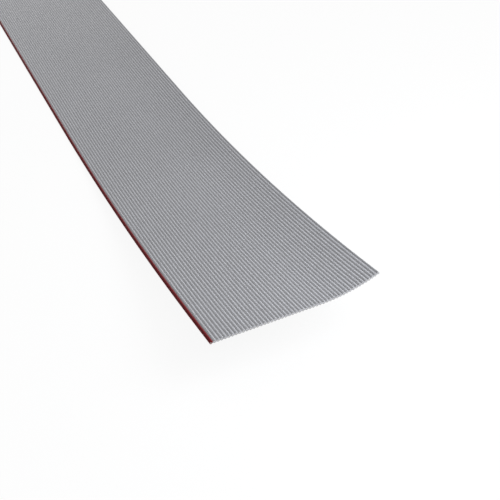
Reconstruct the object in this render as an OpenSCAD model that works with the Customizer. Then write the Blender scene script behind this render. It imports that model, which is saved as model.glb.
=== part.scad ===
// Flat ribbon cable of fifty round conductors, cut square at both ends.
// It lies on its flat stretch, and its near end curls up off the surface as it came off the reel.
// X runs across the cable, Y along it and Z up. Conductor 1, in the red edge, is at low X.

/* [Conductors] */
// Number of conductors side by side
conductors = 50; // [10:1:50]
// Distance from one conductor to the next
pitch = 1.27; // [1.1:0.01:2]
// Diameter of one tinned copper strand
strand_d = 0.127; // [0.08:0.001:0.16]
// Depth to which neighbouring strands are bedded into each other by the tinning
strand_bed = 0.004; // [0.002:0.001:0.01]

/* [Insulation] */
// Diameter of the round ridge over each conductor
ridge_d = 0.89; // [0.75:0.01:1.05]
// Thickness of the web between two ridges
web_t = 0.36; // [0.2:0.01:0.5]
// Room between a conductor and the wall of its bore
bore_clear = 0.004; // [0.002:0.001:0.02]

/* [Lie] */
// Length of the stretch that lies flat on the surface
flat_len = 308; // [120:4:400]
// Length of the near stretch that curls up
curl_len = 200; // [60:5:260]
// Radius of the curl, measured to the underside of the cable
curl_r = 1000; // [600:50:2000]
// Distance from the middle conductors at which the high side starts to cup
cup_start = 8; // [6:0.5:14]
// Radius to which the high side is cupped
cup_r = 70; // [50:2.5:200]

/* [Hidden] */
// Facets of a drawn circle, and of a full turn of the curl
ridge_fn = 24;
strand_fn = 16;
curl_fn = 180;
// Number of strands laid around the middle strand of each conductor
outer_strands = 6;
// Distance from the middle strand to those around it, and the width of the whole conductor
strand_step = strand_d - strand_bed;
conductor_d = strand_d + 2 * strand_step;
bore_d = conductor_d + 2 * bore_clear;
// Angle through which the near stretch curls
curl_angle = curl_len / curl_r * 180 / PI;
// Box of the cable before it is centred
low_x = place_x(1) - ridge_d / 2;
high_x = place_x(conductors) + ridge_d / 2;
near_y = -curl_r * sin(curl_angle);

// Node name of a conductor, with its number in two digits
function conductor_name(i) = str("conductor_", i < 10 ? "0" : "", i);

// Place number n in the cable's section: whole numbers are conductors, halves are the webs between them
function across(n) = (n - (conductors + 1) / 2) * pitch;
function cup_angle(n) = max(0, across(n) - cup_start) / cup_r * 180 / PI;
function place_x(n) = min(across(n), cup_start) + cup_r * sin(cup_angle(n));
function place_z(n) = ridge_d / 2 + cup_r * (1 - cos(cup_angle(n)));

// Puts a piece of the section at place n
module at_place(n) {
    translate([place_x(n), place_z(n)]) children();
}

// Puts a piece of the section at place n, turned with the cup
module cupped(n) {
    at_place(n) rotate(cup_angle(n)) children();
}

// Runs a section along the cable: straight on the surface, then up round the curl
module run_of_cable() {
    translate([-(low_x + high_x) / 2, -(near_y + flat_len) / 2, 0]) {
        translate([0, flat_len, 0]) rotate([90, 0, 0]) linear_extrude(flat_len) children();
        translate([0, 0, curl_r]) mirror([0, 1, 0]) rotate([0, 90, 0])
            rotate_extrude(angle = curl_angle, $fn = curl_fn)
                translate([curl_r, 0]) rotate(90) children();
    }
}

// Insulation over one conductor
module ridge(n) {
    cupped(n) circle(d = ridge_d, $fn = ridge_fn);
}

// Bore that a conductor lies in
module bore(n) {
    at_place(n) circle(d = bore_d, $fn = strand_fn);
}

// Web that joins conductor n to the next
module web(n) {
    cupped(n + 0.5) square([pitch, web_t], center = true);
}

// Half of the web beside the marked conductor: side -1 is its red half, and side 1 the grey one
module edge_web(side) {
    cupped(1.5) translate([side * pitch / 4, 0]) square([pitch / 2, web_t], center = true);
}

// Seven strands tinned into one conductor, with the tin that fills between them. The cup doesn't turn them.
module strand_bundle(n) {
    at_place(n) {
        circle(r = strand_step * cos(180 / outer_strands), $fn = strand_fn);
        for (s = [1:outer_strands])
            rotate(s * 360 / outer_strands) translate([strand_step, 0]) circle(d = strand_d, $fn = strand_fn);
    }
}

module grey_insulation() {
    color([0.61, 0.61, 0.63]) run_of_cable() difference() {
        union() {
            edge_web(1);
            for (n = [2:conductors]) ridge(n);
            for (n = [2:conductors - 1]) web(n);
        }
        for (n = [2:conductors]) bore(n);
    }
}

module red_edge_insulation() {
    color([0.45, 0.08, 0.1]) run_of_cable() difference() {
        union() {
            ridge(1);
            edge_web(-1);
        }
        bore(1);
    }
}

module conductor(n) {
    color([0.79, 0.77, 0.73]) run_of_cable() strand_bundle(n);
}

grey_insulation();
red_edge_insulation();
for (i = [1:conductors]) conductor(i);
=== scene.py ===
"""A flat ribbon cable: round conductors side by side in grey PVC, with a red edge over conductor 1.

It lies on its flat stretch and its near end curls up. All sizes are in metres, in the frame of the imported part.
"""

import math

import bmesh
import bpy
import numpy as np
from bpy.props import FloatProperty, FloatVectorProperty, IntProperty, PointerProperty
from mathutils import Matrix, Vector


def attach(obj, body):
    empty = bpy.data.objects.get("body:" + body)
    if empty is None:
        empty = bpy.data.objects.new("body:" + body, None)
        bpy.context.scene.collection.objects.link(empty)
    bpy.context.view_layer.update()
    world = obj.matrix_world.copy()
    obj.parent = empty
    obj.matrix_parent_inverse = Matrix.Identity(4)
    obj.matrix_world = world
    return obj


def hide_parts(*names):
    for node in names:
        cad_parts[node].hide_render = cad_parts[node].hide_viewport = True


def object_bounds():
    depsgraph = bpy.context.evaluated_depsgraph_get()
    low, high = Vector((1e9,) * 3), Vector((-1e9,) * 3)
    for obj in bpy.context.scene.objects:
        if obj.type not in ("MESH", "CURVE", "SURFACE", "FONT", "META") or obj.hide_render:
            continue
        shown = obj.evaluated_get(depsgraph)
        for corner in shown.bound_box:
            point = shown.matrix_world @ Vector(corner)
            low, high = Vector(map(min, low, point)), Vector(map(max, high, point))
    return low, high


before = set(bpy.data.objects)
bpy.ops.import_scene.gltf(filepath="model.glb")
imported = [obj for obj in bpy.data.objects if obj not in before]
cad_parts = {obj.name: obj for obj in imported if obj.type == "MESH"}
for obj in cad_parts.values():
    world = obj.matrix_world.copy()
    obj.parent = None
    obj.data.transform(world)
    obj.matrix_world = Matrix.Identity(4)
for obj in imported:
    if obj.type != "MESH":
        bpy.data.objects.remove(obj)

CAD_LOW, CAD_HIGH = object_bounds()

bl_info = {
    "name": "Ribbon cable",
    "version": (1, 0, 0),
    "blender": (4, 5, 0),
    "location": "View3D > Sidebar > Cable",
    "description": "Builds a flat ribbon cable with its insulation, conductors, camera and studio",
    "category": "Add Mesh",
}

CONDUCTORS = sorted(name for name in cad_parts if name.startswith("conductor_"))
GREY_NODE = "grey_insulation"
RED_NODE = "red_edge_insulation"
BODY = "root"
UV_NAME = "lie"
MM = 0.001


class CableSizes(bpy.types.PropertyGroup):
    """Sizes of the cable's section and of the way it lies."""

    pitch: FloatProperty(
        name="Pitch",
        description="Distance from one conductor to the next",
        default=1.27 * MM,
        unit="LENGTH",
        precision=6,
    )
    ridge_diameter: FloatProperty(
        name="Ridge diameter",
        description="Diameter of the round ridge over each conductor",
        default=0.89 * MM,
        unit="LENGTH",
        precision=6,
    )
    bore_diameter: FloatProperty(
        name="Bore diameter",
        description="Diameter of the bore that a conductor lies in",
        default=0.381 * MM,
        unit="LENGTH",
        precision=6,
    )
    cup_start: FloatProperty(
        name="Cup start",
        description="Distance from the middle at which the high side starts to cup",
        default=8 * MM,
        unit="LENGTH",
    )
    cup_radius: FloatProperty(
        name="Cup radius",
        description="Radius to which the high side is cupped",
        default=70 * MM,
        unit="LENGTH",
    )
    flat_length: FloatProperty(
        name="Flat length",
        description="Length of the stretch that lies on the surface",
        default=308 * MM,
        unit="LENGTH",
    )
    curl_length: FloatProperty(
        name="Curl length",
        description="Length of the near stretch that curls up",
        default=200 * MM,
        unit="LENGTH",
    )
    curl_radius: FloatProperty(
        name="Curl radius",
        description="Radius of the curl, measured to the underside",
        default=1000 * MM,
        unit="LENGTH",
    )
    flat_steps: IntProperty(
        name="Flat steps", description="Rings along the flat stretch", default=8, min=1
    )
    curl_steps: IntProperty(
        name="Curl steps", description="Rings along the curl", default=18, min=4
    )


class CableFinish(bpy.types.PropertyGroup):
    """Colours of the cable, including painted shade over the conductors and painted light in the webs."""

    # Painted shade: a darker grey over each conductor stands in for shade on the ridge crests.
    grey_ridge: FloatVectorProperty(
        name="Grey over a conductor",
        description="Colour of the grey PVC where the conductor shows through it",
        default=(0.18, 0.181, 0.192),
        subtype="COLOR",
        size=3,
    )
    # Painted light: a lighter grey in the web stands in for light shining through the thin web.
    grey_painted_web_light: FloatVectorProperty(
        name="Grey of the web",
        description="Colour of the grey PVC between two conductors, where it is thin",
        default=(0.425, 0.427, 0.45),
        subtype="COLOR",
        size=3,
    )
    # Painted shade: a very dark red over the conductor stands in for the shaded side of the red ridge.
    red_ridge: FloatVectorProperty(
        name="Red over the conductor",
        description="Colour of the red edge over its conductor",
        default=(0.052, 0.0008, 0.002),
        subtype="COLOR",
        size=3,
    )
    # Painted light: a lighter red in the web stands in for light shining through the thin web.
    red_painted_web_light: FloatVectorProperty(
        name="Red of the web",
        description="Colour of the red edge where it is thin",
        default=(0.17, 0.004, 0.008),
        subtype="COLOR",
        size=3,
    )
    tin: FloatVectorProperty(
        name="Tinned copper",
        description="Colour of the tinned strands",
        default=(0.66, 0.64, 0.6),
        subtype="COLOR",
        size=3,
    )


class CableStage(bpy.types.PropertyGroup):
    """Camera, floor and lights."""

    eye: FloatVectorProperty(
        name="Eye",
        description="Place of the camera",
        default=(-95.007 * MM, -467.345 * MM, 223.825 * MM),
        subtype="XYZ",
        unit="LENGTH",
        size=3,
    )
    aim: FloatVectorProperty(
        name="Aim",
        description="Point on the floor in the middle of the picture",
        default=(9.63 * MM, -189.12 * MM, 0.0),
        subtype="XYZ",
        unit="LENGTH",
        size=3,
    )
    roll: FloatProperty(
        name="Roll",
        description="Turn of the camera about its own axis",
        default=math.radians(-5.563),
        unit="ROTATION",
    )
    lens: FloatProperty(
        name="Lens", description="Focal length in millimetres", default=67.639
    )
    floor_colour: FloatVectorProperty(
        name="Floor",
        description="Colour of the floor",
        default=(0.93, 0.93, 0.93),
        subtype="COLOR",
        size=3,
    )


# The lie of the cable


class Lie:
    """Turns places on the flat cable into the frame, and back."""

    def __init__(self, sizes):
        self.sizes = sizes
        self.far_y = CAD_HIGH.y
        self.tangent_y = CAD_HIGH.y - sizes.flat_length
        self.near_angle = sizes.curl_length / sizes.curl_radius
        self.low_side = (len(CONDUCTORS) - 1) / 2 * sizes.pitch
        self.middle_x = CAD_LOW.x + sizes.ridge_diameter / 2 + self.low_side
        self.middle_z = sizes.ridge_diameter / 2

    def place(self, number):
        """Place in the section of a conductor, counted from 0: across, up from the surface, and its tilt."""
        sizes = self.sizes
        across = number * sizes.pitch - self.low_side
        tilt = max(0.0, across - sizes.cup_start) / sizes.cup_radius
        x = self.middle_x + min(across, sizes.cup_start) + sizes.cup_radius * math.sin(tilt)
        return x, self.middle_z + sizes.cup_radius * (1 - math.cos(tilt)), tilt

    def flatten(self, points):
        """Distances across and along the flat cable for an array of points in the frame."""
        sizes = self.sizes
        away, up = self.tangent_y - points[:, 1], sizes.curl_radius - points[:, 2]
        curled = away > 0
        height = np.where(curled, sizes.curl_radius - np.hypot(away, up), points[:, 2])
        along = np.where(
            curled,
            sizes.flat_length + np.arctan2(away, up) * sizes.curl_radius,
            self.far_y - points[:, 1],
        )
        aside = points[:, 0] - self.middle_x - sizes.cup_start
        tilt = np.arctan2(aside, self.middle_z + sizes.cup_radius - height)
        across = sizes.cup_start + np.where(aside > 0, tilt * sizes.cup_radius, aside)
        return across + self.low_side, along


# Modelling helpers


def deselect_all():
    """Leaves object mode with nothing selected."""
    if bpy.context.object and bpy.context.object.mode != "OBJECT":
        bpy.ops.object.mode_set(mode="OBJECT")
    bpy.ops.object.select_all(action="DESELECT")


def make_only(piece):
    """Selects one object alone and makes it the active one."""
    deselect_all()
    piece.select_set(True)
    bpy.context.view_layer.objects.active = piece


def select_edges(piece, wanted):
    """In edit mode, selects only the edges whose two ends both pass a test."""
    bpy.ops.mesh.select_mode(type="EDGE")
    bpy.ops.mesh.select_all(action="DESELECT")
    mesh = bmesh.from_edit_mesh(piece.data)
    for edge in mesh.edges:
        if all(wanted(vertex.co) for vertex in edge.verts):
            edge.select_set(True)
    bmesh.update_edit_mesh(piece.data)


RIDGE_SIDES = 38
BORE_SIDES = 24
WEB_CORNERS = 3


def ridge_slice(sizes, webs):
    """One ridge of the cut end, with its bore and half a web on the sides named in webs, -1 for low X and 1 for high."""
    radius, bore = sizes.ridge_diameter / 2, sizes.bore_diameter / 2
    half_step = math.pi / RIDGE_SIDES
    upright = (math.pi / 2, 0.0, 0.0)
    deselect_all()
    bpy.ops.mesh.primitive_circle_add(vertices=RIDGE_SIDES, radius=radius, rotation=upright)
    piece = bpy.context.object
    bpy.ops.object.transform_apply(location=True, rotation=True, scale=True)
    bpy.ops.object.mode_set(mode="EDIT")
    bpy.ops.mesh.primitive_circle_add(vertices=BORE_SIDES, radius=bore, rotation=upright)
    bpy.ops.mesh.select_all(action="SELECT")
    bpy.ops.mesh.bridge_edge_loops()
    web_angle = 2 * WEB_CORNERS * half_step
    for side in webs:
        def on_side(co):
            return co.x * side > radius * math.cos(web_angle)
        select_edges(piece, on_side)
        bpy.ops.mesh.extrude_region_move(
            TRANSFORM_OT_translate={"value": (side * (sizes.pitch / 2 - radius), 0.0, 0.0)}
        )
        bpy.ops.transform.resize(value=(0.0, 1.0, 1.0), center_override=(side * sizes.pitch / 2, 0.0, 0.0))
    bpy.ops.object.mode_set(mode="OBJECT")
    return piece


def cut_end(lie, name, numbers):
    """The section of the cable over these conductors, as a flat face at its far end."""
    last = len(CONDUCTORS) - 1
    copies = []
    models = {}
    for index in numbers:
        webs = tuple(side for side in (-1, 1) if 0 <= index + side <= last)
        if webs not in models:
            models[webs] = ridge_slice(lie.sizes, webs)
        make_only(models[webs])
        bpy.ops.object.duplicate(linked=False)
        copy = bpy.context.object
        x, z, tilt = lie.place(index)
        copy.location = (x, lie.far_y, z)
        copy.rotation_euler = (0.0, -tilt, 0.0)
        copies.append(copy)
    for model in models.values():
        bpy.data.objects.remove(model, do_unlink=True)
    deselect_all()
    for copy in copies:
        copy.select_set(True)
    bpy.context.view_layer.objects.active = copies[0]
    bpy.ops.object.transform_apply(location=True, rotation=True, scale=True)
    if len(copies) > 1:
        bpy.ops.object.join()
    piece = bpy.context.object
    piece.name = piece.data.name = name
    bpy.ops.object.transform_apply(location=True, rotation=True, scale=True)
    bpy.ops.object.mode_set(mode="EDIT")
    bpy.ops.mesh.select_all(action="SELECT")
    bpy.ops.mesh.remove_doubles(threshold=0.005 * MM)
    bpy.ops.object.mode_set(mode="OBJECT")
    return piece


def run_along(piece, lie):
    """Draws the cut end out along the flat stretch and turns it up round the curl."""
    sizes = lie.sizes
    make_only(piece)
    bpy.ops.object.mode_set(mode="EDIT")
    bpy.ops.mesh.select_mode(type="FACE")
    bpy.ops.mesh.select_all(action="SELECT")
    for _ in range(sizes.flat_steps):
        bpy.ops.mesh.extrude_region_move(
            TRANSFORM_OT_translate={"value": (0.0, -sizes.flat_length / sizes.flat_steps, 0.0)}
        )
    bpy.ops.mesh.spin(
        steps=sizes.curl_steps,
        angle=lie.near_angle,
        center=(0.0, lie.tangent_y, sizes.curl_radius),
        axis=(1.0, 0.0, 0.0),
    )
    bpy.ops.mesh.select_all(action="SELECT")
    bpy.ops.mesh.remove_doubles(threshold=0.002 * MM)
    bpy.ops.mesh.normals_make_consistent(inside=False)
    bpy.ops.object.mode_set(mode="OBJECT")
    bpy.ops.object.shade_smooth_by_angle(angle=math.radians(32))


def lay_out(piece, lie):
    """Gives the piece a UV map of its distances across and along the flat cable."""
    mesh = piece.data
    points = np.empty(len(mesh.vertices) * 3, np.float32)
    mesh.vertices.foreach_get("co", points)
    across, along = lie.flatten(points.reshape(-1, 3).astype(float))
    corners = np.empty(len(mesh.loops), np.int32)
    mesh.loops.foreach_get("vertex_index", corners)
    while mesh.uv_layers:
        mesh.uv_layers.remove(mesh.uv_layers[0])
    layer = mesh.uv_layers.new(name=UV_NAME)
    layer.data.foreach_set("uv", np.stack([across, along], 1)[corners].astype(np.float32).ravel())


def finish_faces(piece, lie, skin, cut):
    """Gives the cut ends their own material."""
    mesh = piece.data
    mesh.materials.clear()
    mesh.materials.append(skin)
    mesh.materials.append(cut)
    long = lie.sizes.flat_length + lie.sizes.curl_length
    along = np.zeros(len(mesh.loops) * 2, np.float32)
    mesh.uv_layers[UV_NAME].data.foreach_get("uv", along)
    along = along.reshape(-1, 2)[:, 1]
    near = 0.01 * MM
    for face in mesh.polygons:
        places = [along[i] for i in face.loop_indices]
        face.material_index = int(max(places) < near or min(places) > long - near)


# Materials


def node(tree, kind, place, **settings):
    """Adds a node with its settings, and values for its inputs given as a dict."""
    made = tree.nodes.new(kind)
    made.location = place
    inputs = settings.pop("inputs", {})
    for name, value in settings.items():
        setattr(made, name, value)
    for name, value in inputs.items():
        made.inputs[name].default_value = value
    return made


def new_group(name, inputs, outputs):
    """A shader node group with these sockets, and its two end nodes."""
    group = bpy.data.node_groups.new(name, "ShaderNodeTree")
    for label, kind, default in inputs:
        socket = group.interface.new_socket(name=label, in_out="INPUT", socket_type=kind)
        socket.default_value = default
    for label, kind in outputs:
        group.interface.new_socket(name=label, in_out="OUTPUT", socket_type=kind)
    return group, node(group, "NodeGroupInput", (-900, 0)), node(group, "NodeGroupOutput", (700, 0))


def painted_light_mask_group():
    """Mask of the painted light and shade across the cable: 0 over a conductor, where shade is painted, and 1 in the
    middle of a web, where light is painted.
    """
    group, start, end = new_group(
        "Cable painted light mask",
        [("Pitch", "NodeSocketFloat", 1.27 * MM), ("Core", "NodeSocketFloat", 0.1), ("Web", "NodeSocketFloat", 0.42)],
        [("Web", "NodeSocketFloat")],
    )
    layout = node(group, "ShaderNodeUVMap", (-900, -200), uv_map=UV_NAME)
    split = node(group, "ShaderNodeSeparateXYZ", (-700, -200))
    count = node(group, "ShaderNodeMath", (-500, -100), operation="DIVIDE")
    fold = node(group, "ShaderNodeMath", (-300, -100), operation="PINGPONG", inputs={1: 0.5})
    mask = node(group, "ShaderNodeMapRange", (-60, -100), interpolation_type="SMOOTHSTEP")
    links = group.links
    links.new(layout.outputs["UV"], split.inputs[0])
    links.new(split.outputs["X"], count.inputs[0])
    links.new(start.outputs["Pitch"], count.inputs[1])
    links.new(count.outputs[0], fold.inputs[0])
    links.new(fold.outputs[0], mask.inputs["Value"])
    links.new(start.outputs["Core"], mask.inputs["From Min"])
    links.new(start.outputs["Web"], mask.inputs["From Max"])
    links.new(mask.outputs["Result"], end.inputs["Web"])
    return group


def drawn_finish_group():
    """Tone, roughness and height of a surface that was drawn through a die: fine streaks along it and a slow change of tone."""
    group, start, end = new_group(
        "Drawn finish",
        [
            ("Roughness", "NodeSocketFloat", 0.4),
            ("Roughness spread", "NodeSocketFloat", 0.1),
            ("Tone spread", "NodeSocketFloat", 0.08),
        ],
        [("Tone", "NodeSocketFloat"), ("Roughness", "NodeSocketFloat"), ("Height", "NodeSocketFloat")],
    )
    coordinates = node(group, "ShaderNodeTexCoord", (-1300, -200))
    stretch = node(group, "ShaderNodeMapping", (-1100, -200), inputs={"Scale": (9000.0, 60.0, 9000.0)})
    streaks = node(group, "ShaderNodeTexNoise", (-900, -200), inputs={"Scale": 1.0, "Detail": 3.0})
    clouds = node(group, "ShaderNodeTexNoise", (-900, -500), inputs={"Scale": 14.0, "Detail": 2.0})
    tone = node(group, "ShaderNodeMapRange", (-500, -400), inputs={"To Min": -1.0, "To Max": 1.0})
    spread = node(group, "ShaderNodeMath", (-300, -400), operation="MULTIPLY")
    around_one = node(group, "ShaderNodeMath", (-100, -400), operation="ADD", inputs={1: 1.0})
    rough = node(group, "ShaderNodeMath", (-300, 0), operation="MULTIPLY_ADD")
    links = group.links
    links.new(coordinates.outputs["Object"], stretch.inputs["Vector"])
    links.new(stretch.outputs["Vector"], streaks.inputs["Vector"])
    links.new(coordinates.outputs["Object"], clouds.inputs["Vector"])
    links.new(clouds.outputs["Fac"], tone.inputs["Value"])
    links.new(tone.outputs["Result"], spread.inputs[0])
    links.new(start.outputs["Tone spread"], spread.inputs[1])
    links.new(spread.outputs[0], around_one.inputs[0])
    links.new(streaks.outputs["Fac"], rough.inputs[0])
    links.new(start.outputs["Roughness spread"], rough.inputs[1])
    links.new(start.outputs["Roughness"], rough.inputs[2])
    links.new(around_one.outputs[0], end.inputs["Tone"])
    links.new(rough.outputs[0], end.inputs["Roughness"])
    links.new(streaks.outputs["Fac"], end.inputs["Height"])
    return group


def new_material(name):
    """An empty material with its Principled BSDF and node tree."""
    material = bpy.data.materials.new(name)
    material.use_nodes = True
    return material, material.node_tree, material.node_tree.nodes["Principled BSDF"]


def use_group(tree, name, place, **values):
    """Places a node group in a material with its own values."""
    made = node(tree, "ShaderNodeGroup", place)
    made.node_tree = bpy.data.node_groups[name]
    for label, value in values.items():
        made.inputs[label.replace("_", " ")].default_value = value
    return made


def bump_from(tree, height, shader, distance, strength):
    """Feeds a height to the shader's normal through a Bump node."""
    bump = node(tree, "ShaderNodeBump", (-200, -400), inputs={"Distance": distance, "Strength": strength})
    tree.links.new(height, bump.inputs["Height"])
    tree.links.new(bump.outputs["Normal"], shader.inputs["Normal"])


def pvc_material(name, sizes, painted_shade_colour, painted_light_colour, roughness, gloss=0.5, edge=None):
    """Satin PVC with painted shade, darker over each conductor, and painted light, lighter in the thin web, as if light
    shone through the web.

    The colour given as edge covers the rest of the first web, up to the foot of the second ridge.
    """
    material, tree, shader = new_material(name)
    mask = use_group(tree, "Cable painted light mask", (-800, 200), Pitch=sizes.pitch)
    drawn = use_group(tree, "Drawn finish", (-800, -200), Roughness=roughness)
    # Painted light and shade: mixes the dark colour over the conductors with the light colour of the webs across the
    # cable.
    colour = node(tree, "ShaderNodeMix", (-560, 200), data_type="RGBA")
    colour.inputs["A"].default_value = (*painted_shade_colour, 1.0)
    colour.inputs["B"].default_value = (*painted_light_colour, 1.0)
    toned = node(tree, "ShaderNodeVectorMath", (-340, 200), operation="SCALE")
    tree.links.new(mask.outputs["Web"], colour.inputs["Factor"])
    # Red print on the first web, in the red that carries the painted web light.
    if edge:
        foot = sizes.pitch - sizes.ridge_diameter / 2
        layout = node(tree, "ShaderNodeUVMap", (-1200, 500), uv_map=UV_NAME)
        split = node(tree, "ShaderNodeSeparateXYZ", (-1000, 500))
        dyed = node(
            tree,
            "ShaderNodeMapRange",
            (-800, 500),
            inputs={"From Min": foot, "From Max": foot + 0.1 * MM, "To Min": 1.0, "To Max": 0.0},
        )
        plain = colour
        colour = node(tree, "ShaderNodeMix", (-440, 420), data_type="RGBA")
        colour.inputs["B"].default_value = (*edge, 1.0)
        tree.links.new(layout.outputs["UV"], split.inputs[0])
        tree.links.new(split.outputs["X"], dyed.inputs["Value"])
        tree.links.new(dyed.outputs["Result"], colour.inputs["Factor"])
        tree.links.new(plain.outputs["Result"], colour.inputs["A"])
    tree.links.new(colour.outputs["Result"], toned.inputs[0])
    tree.links.new(drawn.outputs["Tone"], toned.inputs["Scale"])
    tree.links.new(toned.outputs[0], shader.inputs["Base Color"])
    tree.links.new(drawn.outputs["Roughness"], shader.inputs["Roughness"])
    shader.inputs["IOR"].default_value = 1.53
    shader.inputs["Specular IOR Level"].default_value = gloss
    bump_from(tree, drawn.outputs["Height"], shader, 0.004 * MM, 0.25)
    return material


def cut_material(name, colour, spread=0.12):
    """PVC as a blade leaves it: duller than the skin, and finely dragged."""
    material, tree, shader = new_material(name)
    coordinates = node(tree, "ShaderNodeTexCoord", (-1000, 0))
    grain = node(tree, "ShaderNodeTexNoise", (-800, 0), inputs={"Scale": 9000.0, "Detail": 4.0})
    tone = node(tree, "ShaderNodeMapRange", (-560, 0), inputs={"To Min": 1.0 - spread, "To Max": 1.0 + spread})
    toned = node(tree, "ShaderNodeVectorMath", (-340, 100), operation="SCALE", inputs={0: colour})
    tree.links.new(coordinates.outputs["Object"], grain.inputs["Vector"])
    tree.links.new(grain.outputs["Fac"], tone.inputs["Value"])
    tree.links.new(tone.outputs["Result"], toned.inputs["Scale"])
    tree.links.new(toned.outputs[0], shader.inputs["Base Color"])
    shader.inputs["Roughness"].default_value = 0.7
    bump_from(tree, grain.outputs["Fac"], shader, 0.01 * MM, 0.6)
    return material


def tinned_material(name, colour):
    """Tinned copper strands: soft silver with a finely streaked, slightly dull surface."""
    material, tree, shader = new_material(name)
    drawn = use_group(tree, "Drawn finish", (-800, 0), Roughness=0.28, Roughness_spread=0.2, Tone_spread=0.1)
    toned = node(tree, "ShaderNodeVectorMath", (-340, 200), operation="SCALE", inputs={0: colour})
    tree.links.new(drawn.outputs["Tone"], toned.inputs["Scale"])
    tree.links.new(toned.outputs[0], shader.inputs["Base Color"])
    tree.links.new(drawn.outputs["Roughness"], shader.inputs["Roughness"])
    shader.inputs["Metallic"].default_value = 1.0
    bump_from(tree, drawn.outputs["Height"], shader, 0.002 * MM, 0.4)
    return material


# Operators


class CABLE_OT_camera(bpy.types.Operator):
    """Sets up the camera"""

    bl_idname = "cable.camera"
    bl_label = "Camera"

    def execute(self, context):
        stage = context.scene.cable_stage
        eye, aim = Vector(stage.eye), Vector(stage.aim)
        turn = (aim - eye).to_track_quat("-Z", "Y").to_matrix() @ Matrix.Rotation(stage.roll, 3, "Z")
        deselect_all()
        bpy.ops.object.camera_add(location=eye, rotation=turn.to_euler())
        camera = context.object
        camera.name = "camera"
        camera.data.lens = stage.lens
        camera.data.sensor_width = 36.0
        camera.data.clip_start = 0.01
        context.scene.camera = camera
        return {"FINISHED"}


class CABLE_OT_grey_insulation(bpy.types.Operator):
    """Models the grey insulation with its ridges, webs and bores"""

    bl_idname = "cable.grey_insulation"
    bl_label = "Grey insulation"

    def execute(self, context):
        sizes, finish = context.scene.cable_sizes, context.scene.cable_finish
        lie = Lie(sizes)
        piece = cut_end(lie, "grey_ridges", range(1, len(CONDUCTORS)))
        run_along(piece, lie)
        lay_out(piece, lie)
        # The grey PVC gets painted shade over its ridges and painted light in its webs.
        skin = pvc_material(
            "grey PVC", sizes, finish.grey_ridge, finish.grey_painted_web_light, 0.45, edge=finish.red_painted_web_light
        )
        cut = cut_material("cut grey PVC", (0.36, 0.36, 0.38))
        finish_faces(piece, lie, skin, cut)
        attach(piece, BODY)
        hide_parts(GREY_NODE)
        return {"FINISHED"}


class CABLE_OT_red_edge(bpy.types.Operator):
    """Models the red insulation over the marked conductor"""

    bl_idname = "cable.red_edge"
    bl_label = "Red edge"

    def execute(self, context):
        sizes, finish = context.scene.cable_sizes, context.scene.cable_finish
        lie = Lie(sizes)
        piece = cut_end(lie, "red_ridge", [0])
        run_along(piece, lie)
        lay_out(piece, lie)
        # The red PVC gets painted shade over its ridge and painted light in its web.
        skin = pvc_material("red PVC", sizes, finish.red_ridge, finish.red_painted_web_light, 0.5, gloss=0.04)
        cut = cut_material("cut red PVC", (0.1, 0.008, 0.012))
        finish_faces(piece, lie, skin, cut)
        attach(piece, BODY)
        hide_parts(RED_NODE)
        return {"FINISHED"}


class CABLE_OT_conductors(bpy.types.Operator):
    """Gives the conductors their tinned finish"""

    bl_idname = "cable.conductors"
    bl_label = "Conductors"

    def execute(self, context):
        tinned = tinned_material("tinned copper", context.scene.cable_finish.tin)
        for name in CONDUCTORS:
            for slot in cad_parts[name].material_slots:
                slot.material = tinned
        return {"FINISHED"}


class CABLE_OT_stage(bpy.types.Operator):
    """Adds the floor and the studio lights"""

    bl_idname = "cable.stage"
    bl_label = "Studio"

    def execute(self, context):
        stage = context.scene.cable_stage
        deselect_all()
        bpy.ops.mesh.primitive_plane_add(size=6.0, location=(0.0, 0.0, 0.0))
        floor = context.object
        floor.name = "floor"
        floor.data.materials.append(floor_material(stage.floor_colour))
        add_softbox("key", (0.7, -0.4, 0.35), 0.5, 1.2, (1.0, 1.0, 1.0))
        add_softbox("rear light", (-0.05, 0.9, 0.35), 0.6, 1.6, (1.0, 1.0, 1.0))
        add_softbox("near light", (0.12, -0.32, 0.17), 0.14, 0.42, (0.93, 0.96, 1.0))
        context.scene.world = studio_world(0.59)
        context.scene.view_settings.view_transform = "Standard"
        return {"FINISHED"}


def add_softbox(name, place, size, power, colour):
    """A square area light that faces the cable."""
    deselect_all()
    turn = (Vector((0.0, -0.12, 0.0)) - Vector(place)).to_track_quat("-Z", "Y").to_euler()
    bpy.ops.object.light_add(type="AREA", location=place, rotation=turn)
    light = bpy.context.object
    light.name = name
    light.data.shape = "SQUARE"
    light.data.size = size
    light.data.energy = power
    light.data.color = colour


def seen_directly(tree, x, y):
    """A value of 1 for rays of the camera, and for those that it sees reflected or through glass."""
    path = node(tree, "ShaderNodeLightPath", (x, y))
    seen = node(tree, "ShaderNodeMath", (x + 200, y), operation="MAXIMUM")
    seen_all = node(tree, "ShaderNodeMath", (x + 400, y), operation="MAXIMUM")
    tree.links.new(path.outputs["Is Camera Ray"], seen.inputs[0])
    tree.links.new(path.outputs["Is Glossy Ray"], seen.inputs[1])
    tree.links.new(seen.outputs[0], seen_all.inputs[0])
    tree.links.new(path.outputs["Is Transmission Ray"], seen_all.inputs[1])
    return seen_all.outputs[0]


def studio_world(light):
    """World that lights the cable at this strength and is itself seen white."""
    world = bpy.data.worlds.new("studio")
    world.use_nodes = True
    tree = world.node_tree
    background = tree.nodes["Background"]
    background.inputs["Color"].default_value = (1.0, 1.0, 1.0, 1.0)
    strength = node(tree, "ShaderNodeMapRange", (-200, 0), inputs={"To Min": light, "To Max": 1.0})
    tree.links.new(seen_directly(tree, -800, 0), strength.inputs["Value"])
    tree.links.new(strength.outputs["Result"], background.inputs["Strength"])
    return world


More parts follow.
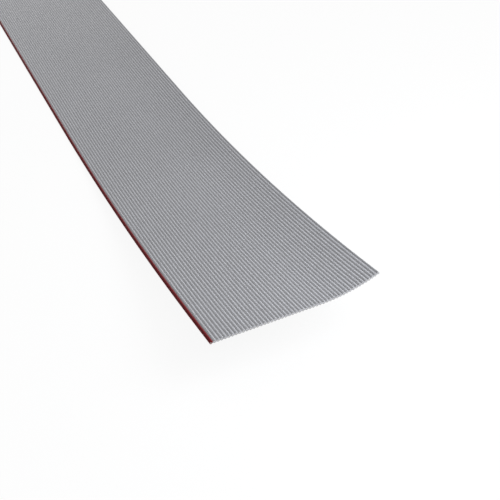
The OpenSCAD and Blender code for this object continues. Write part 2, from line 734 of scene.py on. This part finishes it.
def floor_material(colour, shown_white=0.9):
    """Pale floor that the camera and reflections see nearly white, with the cable's soft shadow kept."""
    material, tree, shader = new_material("pale floor")
    shader.inputs["Base Color"].default_value = (*colour, 1.0)
    shader.inputs["Roughness"].default_value = 0.9
    share = node(tree, "ShaderNodeMath", (-140, 300), operation="MULTIPLY", inputs={1: shown_white})
    glow = node(tree, "ShaderNodeEmission", (0, 0), inputs={"Strength": 1.0})
    blend = node(tree, "ShaderNodeMixShader", (300, 200))
    links = tree.links
    links.new(seen_directly(tree, -760, 300), share.inputs[0])
    links.new(share.outputs[0], blend.inputs["Fac"])
    links.new(shader.outputs["BSDF"], blend.inputs[1])
    links.new(glow.outputs["Emission"], blend.inputs[2])
    links.new(blend.outputs["Shader"], tree.nodes["Material Output"].inputs["Surface"])
    return material


class CABLE_PT_panel(bpy.types.Panel):
    """Lists the cable's operators and sizes in the sidebar"""

    bl_idname = "CABLE_PT_panel"
    bl_label = "Ribbon cable"
    bl_space_type = "VIEW_3D"
    bl_region_type = "UI"
    bl_category = "Cable"

    def draw(self, context):
        layout = self.layout
        for group in ("cable_sizes", "cable_finish", "cable_stage"):
            values = getattr(context.scene, group)
            box = layout.box()
            for name in values.__annotations__:
                box.prop(values, name)
        for operator in OPERATORS:
            layout.operator(operator.bl_idname)


OPERATORS = (
    CABLE_OT_camera,
    CABLE_OT_grey_insulation,
    CABLE_OT_red_edge,
    CABLE_OT_conductors,
    CABLE_OT_stage,
)
GROUPS = {"cable_sizes": CableSizes, "cable_finish": CableFinish, "cable_stage": CableStage}


def register():
    for group in GROUPS.values():
        bpy.utils.register_class(group)
    for name, group in GROUPS.items():
        setattr(bpy.types.Scene, name, PointerProperty(type=group))
    for operator in OPERATORS:
        bpy.utils.register_class(operator)
    bpy.utils.register_class(CABLE_PT_panel)


def unregister():
    bpy.utils.unregister_class(CABLE_PT_panel)
    for operator in reversed(OPERATORS):
        bpy.utils.unregister_class(operator)
    for name in GROUPS:
        delattr(bpy.types.Scene, name)
    for group in reversed(GROUPS.values()):
        bpy.utils.unregister_class(group)


def main():
    """Builds the whole scene."""
    register()
    painted_light_mask_group()
    drawn_finish_group()
    bpy.ops.cable.camera()
    bpy.ops.cable.grey_insulation()
    bpy.ops.cable.red_edge()
    bpy.ops.cable.conductors()
    bpy.ops.cable.stage()


if __name__ == "__main__":
    main()
